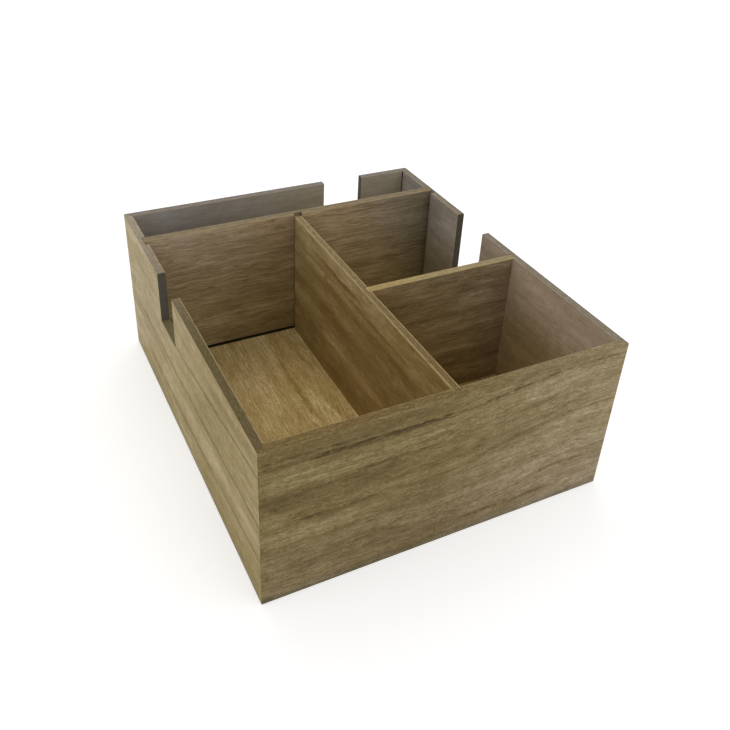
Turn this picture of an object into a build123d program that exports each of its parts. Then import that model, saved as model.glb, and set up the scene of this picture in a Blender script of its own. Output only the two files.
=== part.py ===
from build123d import *
import os
from math import sqrt

# An open-topped wooden caddy: four mitred walls round a floor that sits in a groove, and three loose
# dividers that drop into upright grooves. X runs along the front, Y from front to back and Z up, in
# millimetres.
# The origin is the middle of the outline, on the surface that the caddy stands on.

# Overall size
outer_width = 276.0
outer_depth = 323.5
outer_height = 132.5

# Board thicknesses, of quarter-inch stock apart from the rear divider's
wall = 6.35
divider = 6.35
rear_board = 7.0
floor_board = 6.35

# Clear sizes of the bays: the left one's width, the front right one's length and the rear one's width
left_bay = 127.5
front_bay = 125.1
rear_bay = 40.8

# Height of the floor's underside above the surface
floor_lift = 7.8

# Finger notches in the left, right and back walls. The side ones are set by their middle's distance
# from the front face, and the back one is in the middle of the right-hand bays. The right one is deeper.
notch_width = 39.0
notch_depth = 43.0
right_notch_depth = 58.0
side_notch_setback = 195.9

# Upright grooves: depth in a board, and the divider's play on each side and at each end
groove_depth = 3.0
side_play = 0.15
end_play = 0.3

# The rear divider's grooves in the side walls are about twice as wide as its board, and it stands against
# their rear sides. The right one is deeper than the left one.
rear_groove_width = 13.4
rear_left_depth = 3.0
rear_right_depth = 4.4

# Groove in the rear divider for the middle divider's free end: its depth, its play on each side, how far its
# middle lies to the right of the middle divider's, and the room that the end leaves in front of this divider
cross_groove_depth = 3.4
cross_play = 0.4
cross_offset = 1.7
middle_gap = 4.7

# Land left under the rear divider's grooves, which carries that divider above the floor
rear_land = 1.5

# Channel across the floor under the rear divider: depth, and how far it shows in front of that divider
channel_depth = 2.0
channel_lead = 1.9

# Floor groove: depth in the walls, and the floor's play at its edges
floor_groove_depth = 3.0
floor_play = 0.4

# Glue line across each mitre, and what sanding took off the edges
glue_line = 0.12
corner_round = 0.55
wall_arris = 0.3
divider_arris = 0.6

# How far the cutting solids run past the wood
overrun = 5.0

# Places that follow from the sizes above
half_width = outer_width / 2
half_depth = outer_depth / 2
inner_width = outer_width - 2 * wall
inner_depth = outer_depth - 2 * wall
inside_x = inner_width / 2
inside_y = inner_depth / 2
floor_top = floor_lift + floor_board
middle_x = left_bay + divider / 2 - inside_x
short_y = front_bay + divider / 2 - inside_y
rear_back_y = inside_y - rear_bay
rear_front_y = rear_back_y - rear_board
rear_groove_back_y = rear_back_y + side_play
rear_groove_front_y = rear_groove_back_y - rear_groove_width
rear_left_x = -inside_x - rear_left_depth
rear_right_x = inside_x + rear_right_depth
middle_end_y = rear_front_y - middle_gap
groove_width = divider + 2 * side_play
hold = groove_depth - end_play
side_notch_y = side_notch_setback - half_depth
back_notch_x = (middle_x + divider / 2 + inside_x) / 2


def block(x_range, y_range, z_range):
    """Return a box between pairs of X, Y and Z limits."""
    sizes = [high - low for low, high in (x_range, y_range, z_range)]
    middles = [(high + low) / 2 for low, high in (x_range, y_range, z_range)]
    return Pos(*middles) * Box(*sizes)


def about(middle, width):
    """Return the limits of a width about its middle."""
    return middle - width / 2, middle + width / 2


def wall_ring():
    """Return the four walls as one ring, with rounded corners and eased top and bottom edges."""
    outside = Pos(Z=outer_height / 2) * Box(outer_width, outer_depth, outer_height)
    outside = fillet(outside.edges().filter_by(Axis.Z), corner_round)
    inside = Pos(Z=outer_height / 2) * Box(inner_width, inner_depth, outer_height + 2 * overrun)
    ring = outside - inside
    flat_edges = ring.edges().filter_by(GeomType.LINE).filter_by(Axis.Z, reverse=True)
    rims = flat_edges.group_by(Axis.Z)[0] + flat_edges.group_by(Axis.Z)[-1]
    rims += ring.edges().filter_by(GeomType.CIRCLE)
    return chamfer(rims, wall_arris)


def notches():
    """Return the solids that cut the three finger notches."""
    height = (outer_height - notch_depth, outer_height + overrun)
    right_height = (outer_height - right_notch_depth, outer_height + overrun)
    along = about(side_notch_y, notch_width)
    left = block((-half_width - overrun, overrun - inside_x), along, height)
    right = block((inside_x - overrun, half_width + overrun), along, right_height)
    back = block(about(back_notch_x, notch_width), (inside_y - overrun, half_depth + overrun), height)
    return [left, right, back]


def wall_grooves():
    """Return the solids that cut the floor's groove and the dividers' upright grooves in the walls."""
    floor_groove = Pos(Z=floor_lift + floor_board / 2) * Box(
        inner_width + 2 * floor_groove_depth, inner_depth + 2 * floor_groove_depth, floor_board
    )
    full = (floor_top, outer_height + overrun)
    stopped = (floor_top + rear_land, outer_height + overrun)
    rear_along = (rear_groove_front_y, rear_groove_back_y)
    rear_left = block((rear_left_x, overrun - inside_x), rear_along, stopped)
    rear_right = block((inside_x - overrun, rear_right_x), rear_along, stopped)
    short_right = block((inside_x - overrun, inside_x + groove_depth), about(short_y, groove_width), full)
    middle_front = block(about(middle_x, groove_width), (-inside_y - groove_depth, overrun - inside_y), full)
    return [floor_groove, rear_left, rear_right, short_right, middle_front]


def mitre_wedge(side, along, across):
    """Return the space of one wall, cut at 45 degrees at both ends.

    side is the wall's direction from the middle, along is half the outer length of the wall, and across is
    the distance of its outer face from the middle.
    """
    inset = glue_line / sqrt(2)
    reach = wall + overrun
    outline = Polyline(
        (inset - along, -across),
        (along - inset, -across),
        (along - inset - reach, reach - across),
        (inset + reach - along, reach - across),
        close=True,
    )
    return Rot(Z=side) * extrude(make_face(outline), outer_height)


def walls():
    """Return the four wall panels, cut from the ring by their mitres."""
    ring = wall_ring() - notches() - wall_grooves()
    return {
        "front_panel": ring & mitre_wedge(0, half_width, half_depth),
        "right_panel": ring & mitre_wedge(90, half_depth, half_width),
        "back_panel": ring & mitre_wedge(180, half_width, half_depth),
        "left_panel": ring & mitre_wedge(270, half_depth, half_width),
    }


def floor_panel():
    """Return the floor, whose edges lie in the walls' groove, with the channel under the rear divider."""
    grown = 2 * (floor_groove_depth - floor_play)
    board = Pos(Z=floor_lift + floor_board / 2) * Box(inner_width + grown, inner_depth + grown, floor_board)
    channel = block(
        (-half_width, half_width),
        (rear_front_y - channel_lead, rear_groove_back_y),
        (floor_top - channel_depth, floor_top + overrun),
    )
    return board - channel


def eased_board(x_range, y_range, z_range, length_axis):
    """Return a divider's blank, with its two long top edges eased."""
    blank = block(x_range, y_range, z_range)
    top_edges = blank.edges().filter_by(length_axis).group_by(Axis.Z)[-1]
    return chamfer(top_edges, divider_arris)


def rear_divider():
    """Return the long cross divider, with the groove in its front for the middle divider."""
    height = (floor_top + rear_land, outer_height)
    length = (rear_left_x + end_play, rear_right_x - end_play)
    blank = eased_board(length, (rear_front_y, rear_back_y), height, Axis.X)
    groove = block(
        about(middle_x + cross_offset, divider + 2 * cross_play),
        (rear_front_y - overrun, rear_front_y + cross_groove_depth),
        (0, outer_height + overrun),
    )
    return blank - groove


def middle_divider():
    """Return the lengthwise divider, with the groove in its right side for the short divider."""
    length = (-inside_y - hold, middle_end_y)
    blank = eased_board(about(middle_x, divider), length, (floor_top, outer_height), Axis.Y)
    right = middle_x + divider / 2
    groove = block(
        (right - groove_depth, right + overrun), about(short_y, groove_width), (0, outer_height + overrun)
    )
    return blank - groove


def short_divider():
    """Return the cross divider between the two right-hand bays."""
    length = (middle_x + divider / 2 - hold, inside_x + hold)
    return eased_board(length, about(short_y, divider), (floor_top, outer_height), Axis.X)


pieces = walls()
pieces["floor_panel"] = floor_panel()
pieces["rear_divider"] = rear_divider()
pieces["middle_divider"] = middle_divider()
pieces["short_divider"] = short_divider()

os.makedirs("parts", exist_ok=True)
for name, piece in pieces.items():
    piece.label = name
    export_step(piece, f"parts/{name}.step")
    print(name, "solids", len(piece.solids()), "volume", round(piece.volume))
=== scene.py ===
"""Looks of an open wooden caddy: four mitred walls, a grooved-in floor and three lift-out dividers.

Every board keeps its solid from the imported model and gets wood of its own, with the fibres along its
length. The one added piece is the glue in the mitres. Lengths in finishes are in millimetres, because
that is how a board is read, and everything that is built is in metres.
"""

import logging
import math
from dataclasses import dataclass, field
from enum import Enum

import bpy
import numpy as np
from mathutils import Matrix, Vector


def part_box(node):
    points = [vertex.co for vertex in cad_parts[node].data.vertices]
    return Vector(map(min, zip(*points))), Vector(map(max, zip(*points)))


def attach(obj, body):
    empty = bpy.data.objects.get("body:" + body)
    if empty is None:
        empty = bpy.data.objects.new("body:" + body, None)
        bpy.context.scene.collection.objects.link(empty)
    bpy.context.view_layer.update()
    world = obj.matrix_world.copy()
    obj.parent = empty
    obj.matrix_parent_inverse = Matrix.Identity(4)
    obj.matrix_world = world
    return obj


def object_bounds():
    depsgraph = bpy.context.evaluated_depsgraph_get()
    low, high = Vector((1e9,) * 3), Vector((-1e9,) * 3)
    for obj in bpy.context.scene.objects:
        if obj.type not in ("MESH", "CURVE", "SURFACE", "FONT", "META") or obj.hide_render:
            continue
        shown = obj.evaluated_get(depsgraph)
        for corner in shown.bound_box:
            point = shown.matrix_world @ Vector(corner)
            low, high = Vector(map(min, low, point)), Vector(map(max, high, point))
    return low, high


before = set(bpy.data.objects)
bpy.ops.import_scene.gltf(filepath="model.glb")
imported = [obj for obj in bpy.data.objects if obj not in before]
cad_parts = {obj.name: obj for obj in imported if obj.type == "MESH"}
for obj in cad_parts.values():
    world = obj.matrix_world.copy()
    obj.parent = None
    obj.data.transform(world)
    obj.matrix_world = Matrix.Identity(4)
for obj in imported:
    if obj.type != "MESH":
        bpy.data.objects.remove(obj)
CAD_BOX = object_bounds()

LOG = logging.getLogger("caddy")
MM = 0.001
PICTURE = 730
SENSOR = 36.0

# The boards' surface: its relief, how much the roughness changes with a pattern and with the relief, and
# what the saw left on top edges and ends
BUMP_STRENGTH = 0.5
BUMP_DEPTH = 0.25 * MM
FIBRE_HEIGHT = 0.3
FLECK_HEIGHT = 0.15
PORE_DEPTH = 0.5
ROUGHNESS_CHANGE = 0.05
RELIEF_ROUGHNESS = 0.08
SAWN_ROUGHNESS = 0.9
SAWN_SHEEN = 0.15

# Noise: how far apart two boards' patterns are numbered, how far a number moves a pattern, the strength of
# its finer layers, and what stretches its narrow range to about -1 to 1
BOARD_STEP = 7
PATTERN_STEP = (3.17, 5.71, 1.93)
LAYER_STRENGTH = 0.55
NOISE_STRETCH = 5

Triple = tuple[float, float, float]
Pair = tuple[float, float]
Stops = list[tuple[float, Triple]]


def linear(red: float, green: float, blue: float) -> Triple:
    """Return the linear values of a colour of 0 to 255, by the sRGB curve."""
    shares = (value / 255 for value in (red, green, blue))
    return tuple(((share + 0.055) / 1.055) ** 2.4 if share > 0.04 else share / 12.92 for share in shares)


class Signal:
    """A value that changes over a surface: an output socket that takes part in Python sums."""

    def __init__(self, wiring: "Wiring", socket: bpy.types.NodeSocket) -> None:
        """Keep the socket and the node tree that it belongs to."""
        self.wiring = wiring
        self.socket = socket

    def math(self, operation: str, *values: "Signal | float") -> "Signal":
        """Return the output of one Math node.

        Args:
            operation: The Math node's operation.
            values: Its inputs, in order.

        Returns:
            The result as a new signal.
        """
        made = self.wiring.node("ShaderNodeMath", {"operation": operation}, dict(enumerate(values)))
        return Signal(self.wiring, made.outputs[0])

    def __add__(self, other: "Signal | float") -> "Signal":
        """Return self + other."""
        return self.math("ADD", self, other)

    def __sub__(self, other: "Signal | float") -> "Signal":
        """Return self - other."""
        return self.math("SUBTRACT", self, other)

    def __rsub__(self, other: float) -> "Signal":
        """Return other - self."""
        return self.math("SUBTRACT", other, self)

    def __mul__(self, other: "Signal | float") -> "Signal":
        """Return self * other."""
        return self.math("MULTIPLY", self, other)

    def __truediv__(self, other: "Signal | float") -> "Signal":
        """Return self / other."""
        return self.math("DIVIDE", self, other)

    def __pow__(self, other: float) -> "Signal":
        """Return self ** other."""
        return self.math("POWER", self, other)

    def __abs__(self) -> "Signal":
        """Return the size of self without its sign."""
        return self.math("ABSOLUTE", self)

    __radd__ = __add__
    __rmul__ = __mul__

    def fraction(self) -> "Signal":
        """Return what is left of self above the next lower whole number."""
        return self.math("FRACT", self)

    def most(self, other: "Signal | float") -> "Signal":
        """Return the higher of self and other."""
        return self.math("MAXIMUM", self, other)

    def step(self, low: float, high: float) -> "Signal":
        """Return a smooth rise from 0 to 1 while self goes from low to high, which may be falling."""
        sockets = {"Value": self, "From Min": low, "From Max": high}
        made = self.wiring.node("ShaderNodeMapRange", {"interpolation_type": "SMOOTHSTEP"}, sockets)
        return Signal(self.wiring, made.outputs[0])


class Wiring:
    """The node tree of a material or a world, with the one method that adds nodes to it."""

    def __init__(self, owner: bpy.types.Material | bpy.types.World) -> None:
        """Empty the owner's node tree and keep it."""
        self.owner = owner
        owner.use_nodes = True
        self.tree = owner.node_tree
        self.tree.nodes.clear()

    def node(self, kind: str, settings: dict[str, object], sockets: dict) -> bpy.types.Node:
        """Add one node.

        Args:
            kind: The node's type.
            settings: Its own settings, which are set first. "stops" gives a ramp's places and colours.
            sockets: Its inputs by name or number, each a number, a colour, a signal or a socket.

        Returns:
            The node.
        """
        made = self.tree.nodes.new(kind)
        for key, value in settings.items():
            if key == "stops":
                self._fill_ramp(made.color_ramp.elements, value)
            else:
                setattr(made, key, value)
        for key, value in sockets.items():
            source = value.socket if isinstance(value, Signal) else value
            if isinstance(source, bpy.types.NodeSocket):
                self.tree.links.new(source, made.inputs[key])
            else:
                made.inputs[key].default_value = source
        return made

    @staticmethod
    def _fill_ramp(elements: bpy.types.ColorRampElements, stops: Stops) -> None:
        """Give a ramp its stops.

        Args:
            elements: The ramp's own two elements.
            stops: Places from 0 to 1, rising, each with its linear colour.
        """
        while len(elements) < len(stops):
            elements.new(1.0)
        for element, (place, colour) in zip(elements, stops):
            element.position = place
            element.color = (*colour, 1.0)

    def vector(self, operation: str, *values: object) -> bpy.types.NodeSocket:
        """Return the output of one Vector Math node."""
        made = self.node("ShaderNodeVectorMath", {"operation": operation}, dict(enumerate(values)))
        return made.outputs[0]

    def ramp(self, stops: Stops, place: object) -> bpy.types.NodeSocket:
        """Return the colour at a place on a ramp.

        Args:
            stops: The ramp's places from 0 to 1, rising, each with its linear colour.
            place: The place, as a signal or a socket.

        Returns:
            The colour's socket.
        """
        return self.node("ShaderNodeValToRGB", {"stops": stops}, {0: place}).outputs[0]

    def blend(
        self, mode: str, factor: "Signal | float", below: object, above: object
    ) -> bpy.types.NodeSocket:
        """Return one colour laid over another.

        Args:
            mode: The Mix node's blend mode.
            factor: How much of it shows, from 0 to 1.
            below: The colour that is there, as a socket or four numbers.
            above: The colour that goes over it.

        Returns:
            The mixed colour's socket.
        """
        settings = {"data_type": "RGBA", "blend_type": mode, "clamp_factor": True}
        return self.node("ShaderNodeMix", settings, {0: factor, 6: below, 7: above}).outputs[2]


class Grain(Enum):
    """Which axes run along a board's fibres, across its broad face and through its thickness."""

    ALONG_X_UPRIGHT = (0, 2, 1)
    ALONG_Y_UPRIGHT = (1, 2, 0)
    ALONG_Y_FLAT = (1, 0, 2)


class Streak(Enum):
    """The patterns of streaks that a board may have.

    Each gives a streak's rough length and width in millimetres, the pattern's number, and how many finer
    layers its noise has. A patch pattern says where another one shows.
    """

    WAVE = (70.0, 26.0, 1, 2.0)
    RIPPLE = (22.0, 12.0, 2, 2.0)
    CURL = (11.0, 16.0, 3, 2.0)
    DEPTH_WAVE = (90.0, 40.0, 4, 2.0)
    RING_WAVE = (50.0, 7.0, 5, 2.0)
    RING_PATCH = (120.0, 18.0, 6, 2.0)
    PORE = (4.5, 0.42, 7, 1.0)
    PORE_PATCH = (55.0, 9.0, 8, 2.0)
    BAND = (150.0, 17.0, 9, 1.0)
    NARROW_BAND = (60.0, 4.5, 10, 3.0)
    FIBRE = (24.0, 1.6, 11, 4.0)
    FLECK = (3.2, 0.9, 12, 3.0)
    LOW_FLECK = (3.5, 0.9, 12, 2.0)
    MOTTLE = (14.0, 8.0, 13, 2.0)
    GLINT = (34.0, 1.1, 16, 2.0)
    GLINT_PATCH = (80.0, 13.0, 17, 2.0)
    HAIR = (90.0, 1.1, 18, 1.0)
    DASH = (9.0, 1.0, 19, 2.0)
    DASH_PATCH = (46.0, 10.0, 20, 2.0)
    GLOSS = (30.0, 4.0, 31, 2.0)
    SPECKLE = (7.0, 1.2, 40, 2.0)
    DUST = (2.0, 0.8, 41, 2.0)
    LOW_LINE = (16.0, 3.0, 42, 2.0)
    HIGH_LINE = (16.0, 3.0, 43, 2.0)
    VEIN_WAVE = (45.0, 30.0, 50, 2.0)
    VEIN_FRAY = (9.0, 2.0, 60, 2.0)
    VEIN_BREAK = (8.0, 1.1, 70, 2.0)


@dataclass(frozen=True)
class Vein:
    """A line or band of the figure, in millimetres on the board's face.

    Height is where its middle line lies across the board, and rise what that line gains over the
    board's sweep. Start and end are its ends along the board. A positive depth darkens it and a negative
    one lightens it. Dashed is the share of it that is broken into dashes, and tail how many half widths
    it fades over below its middle line.
    """

    height: float
    half_width: float
    depth: float
    rise: float = 0.0
    start: float = -400.0
    end: float = 400.0
    dashed: float = 0.5
    tail: float = 2.0


@dataclass(frozen=True)
class Gradient:
    """A change of colour that grows over a board's face from one place to another, in millimetres.

    Its colour multiplies the wood's, and each place is along the board and across it. Several of them are
    painted shade and painted sheen, as is said where the boards list them.
    """

    colour: Triple
    start: Pair
    end: Pair


@dataclass(frozen=True)
class Knot:
    """A small knot that the fibres bend round, in millimetres on the board's face.

    Push is how far the fibres give way, and depth how much darker its middle is.
    """

    along: float
    across: float
    radius: float
    push: float = 2.0
    depth: float = 0.3


@dataclass(frozen=True)
class Stain:
    """The colours of one board, all from its middle one, given from 0 to 255.

    Dark wood takes more of the yellow stain and pale wood less, so the blue part moves most.
    """

    middle: Triple
    contrast: float = 1.0
    shares: Triple = (1.0, 1.12, 1.45)

    def shade(self, strength: float) -> Triple:
        """Return the wood's colour at a strength.

        The middle colour is multiplied by e to the strength, times the contrast and each part's share.

        Args:
            strength: Below zero for darker wood and above it for paler wood.

        Returns:
            The linear colour.
        """
        amounts = (math.exp(strength * self.contrast * share) for share in self.shares)
        return tuple(part * amount for part, amount in zip(linear(*self.middle), amounts))

    def stops(self) -> Stops:
        """Return five shades from the darkest pores to the palest streaks, as the stops of a ramp."""
        return [(place, self.shade((place - 0.5) * 2)) for place in (0.0, 0.25, 0.5, 0.75, 1.0)]


@dataclass(frozen=True)
class SawnEdge:
    """The top edge of a board, where the saw left it rough and the stain took unevenly.

    Far multiplies the colour at the far end of the board, a painted sheen that turns the edge bluer and on
    most boards paler, and takes hold from the share of its length that far_from gives. The lines are the
    strengths of the pale lines along the two arrises, partly worn edges and partly painted highlights, the
    low side of the thickness first, and a strength below zero makes a dark line. Deep is the colour of
    ends and of a notch's cheeks, and bottom that of a notch's bottom.
    """

    colour: Triple
    far: Triple = (1.0, 1.0, 1.0)
    far_from: float = 0.0
    line: Triple = (185, 165, 125)
    lines: Pair = (0.3, 0.3)
    line_width: float = 0.65
    speckle: float = 0.07
    deep: Triple = (96, 90, 76)
    bottom: Triple = (108, 97, 70)


@dataclass(frozen=True)
class Wood:
    """The wood and stain of one board.

    The figure follows the board's sweep, which climbs across it between two places along it. The fibres
    wander, and curl adds short waves to them. The rings lie ring_pitch apart about ring_middle, the heart
    of the log. Draw is how many times as long as usual the streaks are. Each amount from ring_depth to
    dashes is how much that part of the figure changes the tone. The fade is how much paler the far end is
    than the near one, partly the wood's own tone and partly painted light. A flat board's low places get
    nearly black painted shade, as strong as the amount given for them. Sheen is the planed faces' specular
    level.
    """

    name: str
    grain: Grain
    seed: int
    stain: Stain
    edge: SawnEdge
    veins: tuple[Vein, ...] = ()
    knots: tuple[Knot, ...] = ()
    washes: tuple[Gradient, ...] = ()
    climb: float = 0.0
    climb_from: float = 0.0
    climb_to: float = 100.0
    wander: float = 1.6
    ring_pitch: float = 9.0
    ring_middle: Pair = (-60.0, 45.0)
    ring_depth: float = 0.08
    bands: float = 0.07
    glints: float = 0.12
    hairs: float = 0.04
    fibres: float = 0.06
    flecks: float = 0.05
    pores: float = 0.14
    mottle: float = 0.04
    dashes: float = 0.12
    draw: float = 1.0
    curl: float = 0.0
    fade: float = 0.0
    low_shade: float = 0.0
    roughness: float = 0.5
    sheen: float = 0.4

    def material(self, node: str) -> bpy.types.Material:
        """Return the board's material.

        Args:
            node: The CAD node that it goes on, whose box places the arrises.

        Returns:
            The material.
        """
        wiring = Wiring(bpy.data.materials.new(self.name))
        board = BoardSurface(wiring, self, node)
        colour = board.sawn(board.graded(wiring.ramp(self.stain.stops(), board.tone())))
        # Painted shade, nearly black, in a flat board's low places
        colour = board.painted_low_shade(colour) if self.low_shade else colour
        relief = board.relief()
        sockets = {"Strength": BUMP_STRENGTH, "Distance": BUMP_DEPTH, "Height": relief}
        bump = wiring.node("ShaderNodeBump", {}, sockets)
        uneven = board.streaks(Streak.GLOSS) * ROUGHNESS_CHANGE
        gloss = self.roughness + uneven - relief * RELIEF_ROUGHNESS
        shared = {"Base Color": colour, "Normal": bump.outputs[0]}
        sockets = {**shared, "Roughness": gloss, "Specular IOR Level": self.sheen}
        planed = wiring.node("ShaderNodeBsdfPrincipled", {}, sockets)
        sockets = {**shared, "Roughness": SAWN_ROUGHNESS, "Specular IOR Level": SAWN_SHEEN}
        rough = wiring.node("ShaderNodeBsdfPrincipled", {}, sockets)
        sockets = {0: board.top.most(board.ends), 1: planed.outputs[0], 2: rough.outputs[0]}
        mixed = wiring.node("ShaderNodeMixShader", {}, sockets)
        wiring.node("ShaderNodeOutputMaterial", {}, {"Surface": mixed.outputs[0]})
        return wiring.owner


class BoardSurface:
    """The figure of one board, worked out in its own directions in millimetres."""

    # How far a normal leans along the board, and across it, where ends and top edges start and are full
    END_LEAN = (0.5, 0.8)
    TOP_LEAN = (0.45, 0.7)

    # Depths below the top between which a notch's bottom, and the painted shade in a flat board's low
    # places, begin and stop, and the painted shade's colour
    NOTCH_BOTTOM = (2.0, 5.0)
    LOW_BEGIN = (0.4, 1.2)
    LOW_STOP = (5.0, 4.0)
    LOW_SHADE_COLOUR = (26, 20, 10)

    # How many of its radii away a knot still bends the fibres
    BEND_REACH = 3.2

    def __init__(self, wiring: Wiring, wood: Wood, node: str) -> None:
        """Set up the board's directions.

        Args:
            wiring: The node tree to build in.
            wood: The board's wood.
            node: The CAD node that it goes on.
        """
        self.wiring = wiring
        self.wood = wood
        low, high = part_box(node)
        self.low = [value / MM for value in low]
        self.high = [value / MM for value in high]
        source = wiring.node("ShaderNodeTexCoord", {}, {})
        facing = self._split(source.outputs["Normal"])
        self.ends = abs(facing[0]).step(*self.END_LEAN)
        self.top = abs(facing[1]).step(*self.TOP_LEAN)
        # The waves themselves are read on straight fibres
        self.bent = wiring.vector("MULTIPLY", source.outputs["Object"], (1 / MM,) * 3)
        self.plain = self._split(self.bent)
        along, across, through = self.plain
        self.sweep = along.step(wood.climb_from, wood.climb_to)
        waves = self.streaks(Streak.WAVE) * wood.wander
        waves = waves + self.streaks(Streak.RIPPLE) * (wood.wander * 0.25)
        if wood.curl:
            waves = waves + self.streaks(Streak.CURL) * wood.curl
        for knot in wood.knots:
            side = across - knot.across
            waves = waves - side * self.near(knot, self.BEND_REACH) * (knot.push / knot.radius / 3)
        self.across = across + (waves - self.sweep * wood.climb)
        self.through = through + self.streaks(Streak.DEPTH_WAVE) * wood.wander
        parts = [None, None, None]
        for axis, part in zip(wood.grain.value, (along, self.across, self.through)):
            parts[axis] = part
        self.bent = wiring.node("ShaderNodeCombineXYZ", {}, dict(enumerate(parts))).outputs[0]

    def _split(self, socket: bpy.types.NodeSocket) -> tuple[Signal, Signal, Signal]:
        """Return a vector's parts along, across and through the board."""
        parts = self.wiring.node("ShaderNodeSeparateXYZ", {}, {0: socket}).outputs
        return tuple(Signal(self.wiring, parts[axis]) for axis in self.wood.grain.value)

    def streaks(self, pattern: Streak) -> Signal:
        """Return noise drawn out along the fibres.

        The place is divided by the streak's length along the board and by its width in the other two
        directions, and moved by an amount of its own, and the noise there is stretched about zero.

        Args:
            pattern: Which of the board's patterns this is.

        Returns:
            A signal that is mostly between -1 and 1.
        """
        length, width, number, layers = pattern.value
        scale = [1 / width] * 3
        scale[self.wood.grain.value[0]] = 1 / (length * self.wood.draw)
        number = self.wood.seed * BOARD_STEP + number
        offset = tuple(number * step for step in PATTERN_STEP)
        vector = self.wiring.vector("MULTIPLY_ADD", self.bent, tuple(scale), offset)
        sockets = {"Vector": vector, "Scale": 1.0, "Detail": layers, "Roughness": LAYER_STRENGTH}
        noise = self.wiring.node("ShaderNodeTexNoise", {"noise_dimensions": "3D"}, sockets)
        return (Signal(self.wiring, noise.outputs[0]) - 0.5) * NOISE_STRETCH

    def rings(self) -> Signal:
        """Return the dark edge of each growth ring.

        The distance from the heart of the log, divided by the ring's pitch, has a fraction that climbs to
        1 at a ring's edge, and its high power is a thin line there.

        Returns:
            A signal from 0 to 1.
        """
        wobble = 0.07
        sharpness = 5
        middle_across, middle_through = self.wood.ring_middle
        out = (self.across - middle_across) ** 2 + (self.through - middle_through) ** 2
        count = out ** 0.5 / self.wood.ring_pitch + self.streaks(Streak.RING_WAVE) * wobble
        return count.fraction() ** sharpness * self.streaks(Streak.RING_PATCH).step(-0.8, 0.7)

    def near(self, knot: Knot, reach: float) -> Signal:
        """Return how near a place is to a knot.

        The distance is counted at half along the fibres, so the knot and what it bends are long ovals.

        Args:
            knot: The knot.
            reach: How many radii away the answer is 0.

        Returns:
            A signal that is 1 at the knot's middle.
        """
        along, across, _ = self.plain
        out = (((along - knot.along) * 0.5) ** 2 + (across - knot.across) ** 2) ** 0.5
        return out.step(knot.radius * reach, 0.0)

    def veins(self) -> Signal:
        """Return how dark the veins are at each place.

        A vein's middle line is its height plus its share of the sweep, and it wanders a little. The
        darkness falls off quickly above that line and slowly below it, fades in and out at its ends, and
        is broken by dashes. The veins share three noises, so that the material stays small.

        Returns:
            A signal that is each vein's depth on its middle line.
        """
        drift = 0.45
        frayed = 0.35
        crisp = 0.2
        end_fade = 12
        along, across, _ = self.plain
        wander = across + self.streaks(Streak.VEIN_WAVE) * drift
        fray = self.streaks(Streak.VEIN_FRAY)
        broken = self.streaks(Streak.VEIN_BREAK).step(-0.5, 0.4)
        total = 0.0
        for vein in self.wood.veins:
            half = vein.half_width
            off = wander + fray * (frayed * half) - self.sweep * vein.rise - vein.height
            body = off.step(half, crisp * half) * off.step(-vein.tail * half, 0.0)
            begun = along.step(vein.start - end_fade, vein.start + end_fade)
            ends = begun * along.step(vein.end + end_fade, vein.end - end_fade)
            total = total + body * ends * (1 - vein.dashed + broken * vein.dashed) * vein.depth
        return total

    def pores(self) -> Signal:
        """Return the short dark pores, from 0 to 1, which are thick in places."""
        patches = self.streaks(Streak.PORE_PATCH).step(-0.8, 0.9)
        return self.streaks(Streak.PORE).step(0.35, 1.1) * patches

    def dashes(self) -> Signal:
        """Return the short crisp dashes of dark late wood, from 0 to 1, which come in drifts."""
        drifts = self.streaks(Streak.DASH_PATCH).step(-0.9, 0.9)
        return self.streaks(Streak.DASH).step(0.0, 0.9) * drifts

    def tone(self) -> Signal:
        """Return the place on the palette, from 0 for the darkest to 1 for the palest."""
        wood = self.wood
        along = self.plain[0]
        axis = wood.grain.value[0]
        length = self.high[axis] - self.low[axis]
        # Paler towards the far end: partly the wood's own tone and partly painted light
        tone = 0.5 + (along - (self.low[axis] + length / 2)) * (wood.fade / length)
        amounts = {
            Streak.BAND: wood.bands, Streak.NARROW_BAND: wood.bands * 0.7, Streak.HAIR: wood.hairs,
            Streak.FIBRE: wood.fibres, Streak.FLECK: wood.flecks, Streak.MOTTLE: wood.mottle,
        }
        for pattern, amount in amounts.items():
            tone = tone + self.streaks(pattern) * amount
        glints = self.streaks(Streak.GLINT).step(0.1, 1.3)
        patches = self.streaks(Streak.GLINT_PATCH).step(0.0, 1.0)
        tone = tone + glints * patches * wood.glints
        tone = tone - self.rings() * wood.ring_depth - self.pores() * wood.pores
        tone = tone + (0.3 - self.dashes()) * wood.dashes
        if wood.veins:
            tone = tone - self.veins()
        for knot in wood.knots:
            tone = tone - self.near(knot, 1.0) * knot.depth
        return tone

    def relief(self) -> Signal:
        """Return the height of the surface, which is lower in pores and soft early wood."""
        fine = self.streaks(Streak.FIBRE) * FIBRE_HEIGHT + self.streaks(Streak.LOW_FLECK) * FLECK_HEIGHT
        return fine - self.pores() * PORE_DEPTH

    def graded(self, colour: bpy.types.NodeSocket) -> bpy.types.NodeSocket:
        """Return the colour with each of the board's gradients over it.

        A gradient's share is the place's distance past its start, along the line to its end, divided by
        the length of that line, and it rises smoothly from 0 to 1. Several boards' gradients are painted
        shade and painted sheen.

        Args:
            colour: The wood's colour.

        Returns:
            The colour multiplied by each gradient.
        """
        along, across, _ = self.plain
        for gradient in self.wood.washes:
            run, climb = gradient.end[0] - gradient.start[0], gradient.end[1] - gradient.start[1]
            past = (along - gradient.start[0]) * run + (across - gradient.start[1]) * climb
            share = (past / (run ** 2 + climb ** 2)).step(0.0, 1.0)
            colour = self.wiring.blend("MULTIPLY", share, colour, (*gradient.colour, 1.0))
        return colour

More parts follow.
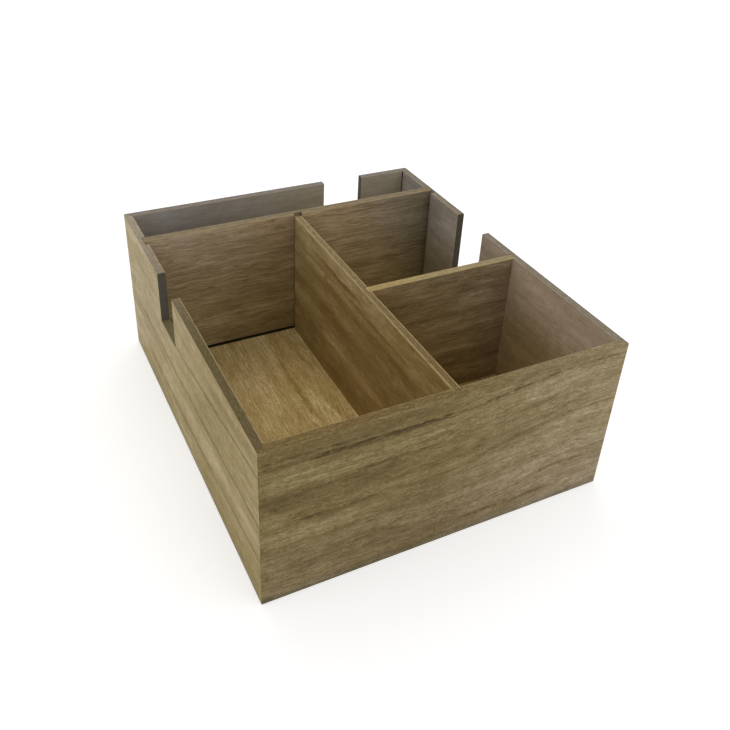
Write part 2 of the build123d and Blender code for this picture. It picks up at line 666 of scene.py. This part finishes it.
    def sawn(self, colour: bpy.types.NodeSocket) -> bpy.types.NodeSocket:
        """Return the colour with the sawn top edge, its arris lines, and the dark notches and ends.

        A place's distance from an arris of the top is its depth below the top plus its distance from
        that side, so each line is where that sum is small.

        Args:
            colour: The colour of the broad faces.

        Returns:
            The colour of every face.
        """
        edge, wiring = self.wood.edge, self.wiring
        along_axis, across_axis, through_axis = self.wood.grain.value
        along, across, through = self.plain
        speckle = self.streaks(Streak.SPECKLE) + self.streaks(Streak.DUST)
        rough = wiring.ramp(Stain(edge.colour).stops(), 0.5 + speckle * edge.speckle)
        share = (along - self.low[along_axis]) / (self.high[along_axis] - self.low[along_axis])
        # Painted sheen: the top edge turns bluer, and on most boards paler, towards the far end
        rough = wiring.blend("MULTIPLY", share.step(edge.far_from, 1.0), rough, (*edge.far, 1.0))
        depth = self.high[across_axis] - across
        shades = (edge.deep, edge.bottom)
        deep, bottom = (wiring.ramp(Stain(shade).stops(), 0.5 + speckle * 0.05) for shade in shades)
        rough = wiring.blend("MIX", depth.step(*self.NOTCH_BOTTOM), rough, bottom)
        colour = wiring.blend("MIX", self.top, colour, rough)
        # Pale lines along the arrises, partly worn edges and partly painted highlights; a dark line takes
        # the deep colour
        sides = (through - self.low[through_axis], self.high[through_axis] - through)
        for strength, side, pattern in zip(edge.lines, sides, (Streak.LOW_LINE, Streak.HIGH_LINE)):
            near = (side + depth).step(edge.line_width * 1.45, edge.line_width)
            patchy = self.streaks(pattern).step(-2.0, 0.4)
            line = edge.line if strength > 0 else edge.deep
            colour = wiring.blend("MIX", near * patchy * abs(strength), colour, (*linear(*line), 1.0))
        return wiring.blend("MIX", self.ends, colour, deep)

    def painted_low_shade(self, colour: bpy.types.NodeSocket) -> bpy.types.NodeSocket:
        """Return the colour with painted shade in what lies a little below a flat board's upper face.

        Args:
            colour: The colour of every face.

        Returns:
            The colour, with nearly black painted shade from about 1 to 4 mm below the upper face.
        """
        depth = self.high[2] - self.plain[2]
        share = depth.step(*self.LOW_BEGIN) * depth.step(*self.LOW_STOP) * self.wood.low_shade
        return self.wiring.blend("MIX", share, colour, (*linear(*self.LOW_SHADE_COLOUR), 1.0))


@dataclass
class MitreGlue:
    """The dark glue line in each mitre of the walls, with the bead that was squeezed out inside.

    The recess is how far the sheets stay back from the walls' faces, and the bead is about how far the
    squeezed-out glue reaches along each wall from the inner corner.
    """

    thickness: float = 0.09 * MM
    recess: float = 0.35 * MM
    bead: float = 0.8 * MM
    dark: Triple = (38, 30, 20)
    pale: Triple = (62, 50, 34)
    patches_per_metre: float = 400.0

    def outline(self, wall: float) -> np.ndarray:
        """Return the sheet's outline, which steps round the floor's corner.

        The first number of each point is the distance out from the inner corner along one axis, and the
        second is the height.

        Args:
            wall: The walls' thickness.

        Returns:
            An array of points, one row each.
        """
        floor_low, floor_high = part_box("floor_panel")
        reach = floor_high[0] - (CAD_BOX[1][0] - wall) + self.recess
        inner, outer = self.recess, wall - self.recess
        low, high = self.recess, CAD_BOX[1][2] - self.recess
        below, above = floor_low[2] - self.recess, floor_high[2] + self.recess
        return np.array([
            (inner, low), (outer, low), (outer, high), (inner, high),
            (inner, above), (reach, above), (reach, below), (inner, below),
        ])

    @staticmethod
    def joined(count: int, start: int) -> list[list[int]]:
        """Return the faces that close the space between two outlines with the same number of points.

        Args:
            count: How many points each outline has.
            start: The number of the first outline's first point.

        Returns:
            The quads between the outlines, and the two ends.
        """
        ring = np.arange(count) + start
        after = np.roll(ring, -1)
        sides = np.stack((ring, after, after + count, ring + count), 1)[:, ::-1]
        return [*sides.tolist(), ring.tolist(), (ring[::-1] + count).tolist()]

    def build(self) -> bpy.types.Object:
        """Build the four sheets and their beads as one mesh.

        Each corner's sheet is the outline set along the corner's diagonal, once on each side of the
        mitre's plane by half the thickness. Its bead is a triangle with its tip in the inner corner, once
        at the floor and once below the top. Each pair of outlines is joined by a band of quads.

        Returns:
            The object, at the origin.
        """
        front_low, front_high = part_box("front_panel")
        wall = front_high[1] - front_low[1]
        high = CAD_BOX[1]
        line = self.outline(wall)
        bead = np.array([(-0.05, 0.0), (-0.5, -0.45), (-0.5, 0.45)]) * self.bead
        upright = np.array([0.0, 0.0, 1.0])
        foot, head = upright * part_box("floor_panel")[1][2], upright * (high[2] - self.recess)
        points, faces = [], []
        for side_x, side_y in ((-1, -1), (1, -1), (1, 1), (-1, 1)):
            corner = np.array([side_x * (high[0] - wall), side_y * (high[1] - wall), 0.0])
            out = np.array([side_x, side_y, 0.0])
            square = np.array([-side_y, side_x, 0.0])
            half = square * (self.thickness / 2 / math.sqrt(2))
            middle = corner + line[:, :1] * out + line[:, 1:] * upright
            triangle = corner + bead[:, :1] * out + bead[:, 1:] * square
            for first, second in ((middle - half, middle + half), (triangle + foot, triangle + head)):
                faces += self.joined(len(first), sum(len(part) for part in points))
                points += [first, second]
        mesh = bpy.data.meshes.new("mitre_glue")
        mesh.from_pydata(np.vstack(points).tolist(), [], faces)
        mesh.update()
        made = bpy.data.objects.new("mitre_glue", mesh)
        bpy.context.scene.collection.objects.link(made)
        return made

    def material(self) -> bpy.types.Material:
        """Return dried glue that has taken dust and stain in uneven patches."""
        wiring = Wiring(bpy.data.materials.new("dried_glue"))
        place = wiring.node("ShaderNodeTexCoord", {}, {}).outputs["Object"]
        sockets = {"Vector": place, "Scale": self.patches_per_metre, "Detail": 2.0}
        patches = wiring.node("ShaderNodeTexNoise", {}, sockets).outputs[0]
        colour = wiring.ramp([(0.3, linear(*self.dark)), (0.7, linear(*self.pale))], patches)
        sockets = {"Strength": 0.3, "Distance": 0.1 * MM, "Height": patches}
        bump = wiring.node("ShaderNodeBump", {}, sockets)
        sockets = {"Base Color": colour, "Roughness": 0.7, "Normal": bump.outputs[0]}
        shader = wiring.node("ShaderNodeBsdfPrincipled", {}, sockets)
        wiring.node("ShaderNodeOutputMaterial", {}, {"Surface": shader.outputs[0]})
        return wiring.owner


FRONT = Wood(
    "front_wood", Grain.ALONG_X_UPRIGHT, 1,
    Stain((131, 112, 66), contrast=1.06, shares=(1.0, 1.13, 1.7)),
    SawnEdge((117, 97, 58), far=(1.52, 1.75, 2.5), far_from=0.3, lines=(0.0, 0.3), speckle=0.13),
    veins=(
        Vein(116.6, 1.8, 0.46, rise=9.0, start=-98, end=-12, dashed=0.75, tail=2.4),
        Vein(116.6, 2.2, 0.26, rise=9.0, start=-138, end=50, dashed=0.8),
        Vein(117.4, 1.3, 0.24, rise=9.0, start=20, end=140, dashed=0.9),
        Vein(121.0, 1.0, 0.26, start=-138, end=-60, dashed=0.8),
        Vein(67.0, 1.8, 0.34, rise=12.0, start=-114, end=-58, dashed=0.85),
        Vein(71.0, 1.7, 0.26, rise=14.0, start=28, end=140, dashed=0.85),
        Vein(95.0, 1.0, 0.30, rise=6.0, start=-70, end=-5, dashed=0.5),
        Vein(15.0, 1.6, 0.32, rise=0.0, start=14, end=84, dashed=0.8),
        Vein(127.5, 8.0, 0.13, rise=6.0, start=-138, end=0, dashed=0.4),
        Vein(105.0, 3.0, -0.18, rise=7.0, start=-132, end=5, dashed=0.8),
        Vein(98.5, 2.2, -0.14, rise=7.0, start=-132, end=5, dashed=0.8),
        Vein(90.0, 7.0, 0.16, rise=6.0, start=-138, end=-40, dashed=0.4),
        Vein(56.0, 6.0, -0.16, rise=6.0, start=-138, end=-60, dashed=0.5),
        Vein(60.0, 12.0, -0.07, rise=9.0, start=70, end=138, dashed=0.2),
    ),
    # The first is partly the board's own paler right end and partly painted sheen. The second turns the
    # face paler and bluer towards the bottom, and the third darker in its lowest few millimetres.
    washes=(
        Gradient((1.36, 1.43, 1.85), (-40.0, 65.0), (125.0, 50.0)),
        Gradient((1.04, 1.04, 1.22), (0.0, 80.0), (0.0, 20.0)),
        Gradient((0.80, 0.85, 0.98), (0.0, 9.0), (0.0, 2.0)),
    ),
    climb=9.0, climb_from=-10.0, climb_to=110.0, fade=0.03, glints=0.14, hairs=0.05, fibres=0.08,
    flecks=0.12, bands=0.09, mottle=0.06, pores=0.17, dashes=0.21, draw=0.7, sheen=0.3,
)
LEFT = Wood(
    "left_wood", Grain.ALONG_Y_UPRIGHT, 2,
    Stain((171, 149, 93), contrast=0.9, shares=(1.0, 1.15, 2.1)),
    SawnEdge(
        (101, 87, 57), far=(2.75, 3.15, 5.2), far_from=0.3, lines=(0.0, 0.6), speckle=0.09,
        deep=(92, 86, 75),
    ),
    veins=(
        Vein(118.7, 1.6, 0.45, rise=-28.0, start=-163, end=14, dashed=0.6, tail=1.8),
        Vein(74.2, 1.8, 0.36, rise=-12.2, start=-163, end=125, dashed=0.6, tail=2.0),
        Vein(44.4, 1.9, 0.36, rise=-17.6, start=-163, end=110, dashed=0.55, tail=2.0),
        Vein(131.0, 4.0, 0.20, rise=-24.0, start=-163, end=-70, dashed=0.7),
        Vein(60.0, 7.0, -0.08, rise=-15.0, start=-163, end=60, dashed=0.2),
    ),
    # The first is painted sheen, paler and bluer towards the rear end. The second darkens the lowest few
    # millimetres.
    washes=(
        Gradient((1.12, 1.17, 1.36), (-100.0, 60.0), (150.0, 60.0)),
        Gradient((0.86, 0.90, 1.0), (0.0, 10.0), (0.0, 2.0)),
    ),
    climb=-16.0, climb_from=-260.0, climb_to=60.0, bands=0.08, hairs=0.04, fibres=0.05, flecks=0.07,
    pores=0.05, ring_depth=0.02, glints=0.04, fade=0.05, dashes=0.10, draw=0.6, mottle=0.05,
)
RIGHT = Wood(
    "right_wood", Grain.ALONG_Y_UPRIGHT, 3,
    Stain((187, 167, 141), contrast=0.8, shares=(1.0, 1.12, 1.4)),
    SawnEdge((136, 125, 107), line=(165, 152, 130), lines=(0.75, -0.5), deep=(84, 77, 64), speckle=0.1),
    veins=(
        Vein(118.0, 22.0, -0.11, start=44, end=82, dashed=0.1, tail=1.5),
        Vein(70.0, 40.0, 0.08, start=-95, end=-35, dashed=0.1, tail=1.0),
        Vein(100.0, 45.0, -0.20, start=130, end=180, dashed=0.1, tail=1.0),
    ),
    # Both are painted shade: the face darkens towards the rear and, more yellow, towards the bottom.
    washes=(
        Gradient((0.61, 0.68, 0.81), (-70.0, 100.0), (110.0, 100.0)),
        Gradient((0.81, 0.77, 0.56), (0.0, 110.0), (0.0, 60.0)),
    ),
    bands=0.05, fibres=0.05, flecks=0.06, pores=0.05, glints=0.04, dashes=0.08, draw=0.6,
)
BACK = Wood(
    "back_wood", Grain.ALONG_X_UPRIGHT, 4, Stain((146, 139, 129), contrast=0.7),
    SawnEdge((134, 125, 114), line=(165, 152, 130), lines=(0.6, -0.5), speckle=0.1),
    washes=(
        Gradient((1.28, 1.22, 1.05), (-100.0, 120.0), (60.0, 120.0)),
        Gradient((1.16, 1.20, 1.30), (-60.0, 120.0), (-110.0, 120.0)),
        Gradient((1.05, 0.96, 0.72), (0.0, 104.0), (0.0, 50.0)),
    ),
    bands=0.04, hairs=0.03, fibres=0.04, flecks=0.05, pores=0.05, fade=0.04, dashes=0.06,
)
FLOOR_WOOD = Wood(
    "floor_wood", Grain.ALONG_Y_FLAT, 5, Stain((213, 183, 112), shares=(1.0, 1.3, 2.2)),
    SawnEdge((213, 183, 112)),
    veins=(
        Vein(-24.0, 2.2, -0.11, rise=-6.0, start=-70, end=12, dashed=0.7),
        Vein(-15.0, 2.2, -0.10, rise=-12.0, start=-70, end=12, dashed=0.7),
        Vein(-34.0, 2.6, 0.22, rise=-2.0, start=-90, end=60, dashed=0.4),
    ),
    # The second is painted shade, darker towards the rear divider. The first and third darken the floor
    # towards the left and the right wall.
    washes=(
        Gradient((0.78, 0.76, 0.72), (0.0, -10.0), (0.0, -105.0)),
        Gradient((0.80, 0.81, 0.90), (-40.0, -60.0), (100.0, -60.0)),
        Gradient((0.72, 0.72, 0.74), (0.0, 35.0), (0.0, 100.0)),
    ),
    climb_from=-45.0, climb_to=10.0, ring_middle=(-60.0, -30.0), pores=0.2, hairs=0.03, fibres=0.09,
    # The last amount is the nearly black painted shade in the floor's low places
    flecks=0.08, bands=0.05, glints=0.04, dashes=0.16, draw=0.9, low_shade=0.96,
)
REAR_DIVIDER = Wood(
    "rear_divider_wood", Grain.ALONG_X_UPRIGHT, 6, Stain((158, 139, 112), contrast=1.0),
    SawnEdge((136, 120, 93), line=(178, 158, 120), lines=(0.6, 1.0), speckle=0.11),
    # All painted light and shade: darker towards the bottom, darker towards the middle divider from the
    # left and lifted again beyond it, and darker and bluer towards the top corner at the right wall.
    washes=(
        Gradient((0.90, 0.90, 0.71), (0.0, 116.0), (0.0, 45.0)),
        Gradient((0.80, 0.74, 0.61), (-95.0, 80.0), (-10.0, 80.0)),
        Gradient((1.22, 1.24, 1.20), (-2.0, 80.0), (25.0, 80.0)),
        Gradient((0.68, 0.76, 0.97), (55.0, 80.0), (118.0, 120.0)),
    ),
    curl=0.9, fibres=0.12, flecks=0.06, hairs=0.06, bands=0.08, pores=0.2, dashes=0.24, glints=0.16,
    draw=1.3,
)
MIDDLE_DIVIDER = Wood(
    "middle_divider_wood", Grain.ALONG_Y_UPRIGHT, 7,
    Stain((156, 132, 85), contrast=1.05, shares=(1.0, 1.2, 1.9)),
    SawnEdge(
        (117, 97, 61), far=(1.4, 1.52, 1.9), line=(188, 164, 115), lines=(0.7, 1.0), line_width=0.85,
        speckle=0.12,
    ),
    veins=(
        Vein(119.5, 2.3, 0.26, start=-20, end=60, dashed=0.4),
        Vein(113.0, 1.8, 0.24, start=-100, end=-5, dashed=0.4),
        Vein(102.5, 4.5, 0.14, start=-110, end=40, dashed=0.3),
        Vein(107.5, 4.0, -0.18, start=20, end=80, dashed=0.2),
        Vein(77.5, 6.0, 0.10, start=-60, end=100, dashed=0.2),
        Vein(51.5, 5.0, -0.09, start=-50, end=40, dashed=0.2),
    ),
    knots=(Knot(38.0, 107.0, 2.6, push=3.0, depth=0.35),),
    # The first is painted shade, darker and more yellow towards the bottom. The second turns the front end
    # more yellow, and the third turns the rear end paler and bluer.
    washes=(
        Gradient((0.86, 0.80, 0.66), (0.0, 120.0), (0.0, 30.0)),
        Gradient((0.98, 0.97, 0.84), (20.0, 80.0), (-110.0, 80.0)),
        Gradient((1.04, 1.10, 1.20), (30.0, 110.0), (95.0, 110.0)),
    ),
    pores=0.06, hairs=0.04, fibres=0.06, flecks=0.07, bands=0.10, wander=2.5, dashes=0.10, draw=0.7,
)
SHORT_DIVIDER = Wood(
    "short_divider_wood", Grain.ALONG_X_UPRIGHT, 8, Stain((129, 105, 59), contrast=0.95),
    SawnEdge(
        (166, 144, 94), far=(0.83, 0.91, 1.25), line=(192, 170, 122), lines=(0.5, 1.0), speckle=0.10,
    ),
    veins=(
        Vein(105.0, 7.0, -0.22, start=86, end=118, dashed=0.2),
        Vein(123.0, 6.0, 0.12, start=52, end=140, dashed=0.3),
        Vein(40.0, 4.0, 0.16, start=70, end=140, dashed=0.5),
        Vein(92.0, 2.0, 0.16, start=40, end=140, dashed=0.6),
    ),
    washes=(Gradient((1.22, 1.42, 2.60), (30.0, 40.0), (125.0, 125.0)),),
    fibres=0.12, flecks=0.09, bands=0.1, pores=0.18, curl=0.4, dashes=0.20, draw=0.85,
)


@dataclass
class Carcass:
    """The four walls, the floor and what joins them."""

    walls: dict[str, Wood] = field(default_factory=lambda: {
        "front_panel": FRONT, "left_panel": LEFT, "right_panel": RIGHT, "back_panel": BACK,
    })
    floor: Wood = FLOOR_WOOD
    glue: MitreGlue = field(default_factory=MitreGlue)

    def build(self) -> None:
        """Dress the walls and the floor, and add the glue."""
        for node, wood in {**self.walls, "floor_panel": self.floor}.items():
            dress(node, wood)
        sheets = self.glue.build()
        sheets.data.materials.append(self.glue.material())
        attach(sheets, "carcass")
        LOG.info("added %s", sheets.name)


@dataclass
class Dividers:
    """The three loose dividers."""

    boards: dict[str, Wood] = field(default_factory=lambda: {
        "rear_divider": REAR_DIVIDER, "middle_divider": MIDDLE_DIVIDER, "short_divider": SHORT_DIVIDER,
    })

    def build(self) -> None:
        """Dress each divider."""
        for node, wood in self.boards.items():
            dress(node, wood)


def dress(node: str, wood: Wood) -> None:
    """Put a board's wood on its CAD node.

    Args:
        node: The node's name.
        wood: Its wood.
    """
    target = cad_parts[node]
    target.data.materials.clear()
    target.data.materials.append(wood.material(node))
    LOG.info("dressed %s with %s", node, wood.name)


@dataclass
class Viewpoint:
    """The camera at the photograph's place."""

    eye: Triple = (-0.25741, -0.50218, 0.46689)
    turn: float = 28.046
    tilt: float = -32.117
    roll: float = -2.931
    focal_pixels: float = 843.21
    middle_pixels: Pair = (361.46, 294.28)

    def build(self) -> None:
        """Make the camera and look through it.

        Turn is the heading from +Y towards +X and tilt the angle above the horizon, which give the
        forward direction. The right direction is level, and roll turns right and down about forward.
        """
        turn, tilt, roll = (math.radians(angle) for angle in (self.turn, self.tilt, self.roll))
        forward = Vector((
            math.sin(turn) * math.cos(tilt), math.cos(turn) * math.cos(tilt), math.sin(tilt),
        ))
        level = forward.cross(Vector((0, 0, 1))).normalized()
        below = forward.cross(level)
        right = level * math.cos(roll) + below * math.sin(roll)
        down = below * math.cos(roll) - level * math.sin(roll)
        lens = bpy.data.cameras.new("viewpoint")
        lens.sensor_width = SENSOR
        lens.lens = self.focal_pixels / PICTURE * SENSOR
        lens.shift_x = (PICTURE / 2 - self.middle_pixels[0]) / PICTURE
        lens.shift_y = (self.middle_pixels[1] - PICTURE / 2) / PICTURE
        lens.clip_start, lens.clip_end = 0.01, 60.0
        camera = bpy.data.objects.new("viewpoint", lens)
        turned = Matrix((right, -down, -forward)).transposed().to_4x4()
        camera.matrix_world = Matrix.Translation(self.eye) @ turned
        bpy.context.scene.collection.objects.link(camera)
        bpy.context.scene.camera = camera


@dataclass(frozen=True)
class Lamp:
    """A soft square lamp that points at a place."""

    name: str
    at: Triple
    watts: float
    size: float = 1.4
    towards: Triple = (0.0, 0.0, 0.05)

    def build(self) -> None:
        """Make the lamp."""
        light = bpy.data.lights.new(self.name, "AREA")
        light.shape = "SQUARE"
        light.size = self.size
        light.energy = self.watts
        lamp = bpy.data.objects.new(self.name, light)
        turned = (Vector(self.towards) - Vector(self.at)).to_track_quat("-Z", "Y")
        lamp.matrix_world = Matrix.Translation(self.at) @ turned.to_matrix().to_4x4()
        bpy.context.scene.collection.objects.link(lamp)


@dataclass
class Studio:
    """The pale floor, the white room and the soft lamps."""

    floor_half: float = 8.0
    floor_grey: float = 0.8
    floor_lift: float = 0.45
    room: float = 0.7
    lamps: tuple[Lamp, ...] = (
        Lamp("left_softbox", (-1.7, -0.15, 1.25), 5.0),
        Lamp("front_softbox", (0.4, -1.4, 1.5), 4.5),
        Lamp("right_softbox", (1.6, -0.6, 1.3), 4.0),
        Lamp("overhead_softbox", (0.3, 1.2, 1.8), 8.5, size=1.6),
    )

    def build(self) -> None:
        """Make the floor, the room's light and the lamps."""
        edge = np.array([(-1, -1, 0), (1, -1, 0), (1, 1, 0), (-1, 1, 0)]) * self.floor_half
        mesh = bpy.data.meshes.new("studio_floor")
        mesh.from_pydata(edge.tolist(), [], [(0, 1, 2, 3)])
        mesh.materials.append(self.floor_material())
        floor = bpy.data.objects.new("studio_floor", mesh)
        bpy.context.scene.collection.objects.link(floor)
        self.light_room()
        for lamp in self.lamps:
            lamp.build()

    def floor_material(self) -> bpy.types.Material:
        """Return matt white that the camera sees lifted to white, with the object's shadow kept."""
        wiring = Wiring(bpy.data.materials.new("studio_floor"))
        matt = wiring.node("ShaderNodeBsdfDiffuse", {}, {"Color": (*(self.floor_grey,) * 3, 1.0)})
        rays = wiring.node("ShaderNodeLightPath", {}, {})
        seen = Signal(wiring, rays.outputs["Is Camera Ray"]) * self.floor_lift
        glow = wiring.node("ShaderNodeEmission", {}, {"Color": (1.0, 1.0, 1.0, 1.0), "Strength": seen})
        both = wiring.node("ShaderNodeAddShader", {}, {0: matt.outputs[0], 1: glow.outputs[0]})
        wiring.node("ShaderNodeOutputMaterial", {}, {"Surface": both.outputs[0]})
        return wiring.owner

    def light_room(self) -> None:
        """Light the scene evenly from the room, which the camera and reflections see as white."""
        world = bpy.data.worlds.new("white_room")
        bpy.context.scene.world = world
        wiring = Wiring(world)
        rays = wiring.node("ShaderNodeLightPath", {}, {})
        camera = Signal(wiring, rays.outputs["Is Camera Ray"])
        glossy = Signal(wiring, rays.outputs["Is Glossy Ray"])
        strength = self.room + camera.most(glossy) * (1 - self.room)
        light = wiring.node("ShaderNodeBackground", {}, {"Strength": strength})
        wiring.node("ShaderNodeOutputWorld", {}, {"Surface": light.outputs[0]})


def main() -> None:
    """Build the camera, the studio and the caddy, in that order."""
    logging.basicConfig(level=logging.INFO, format="%(name)s: %(message)s")
    Viewpoint().build()
    Studio().build()
    Carcass().build()
    Dividers().build()
    bpy.context.scene.view_settings.view_transform = "Standard"


if __name__ == "__main__":
    main()
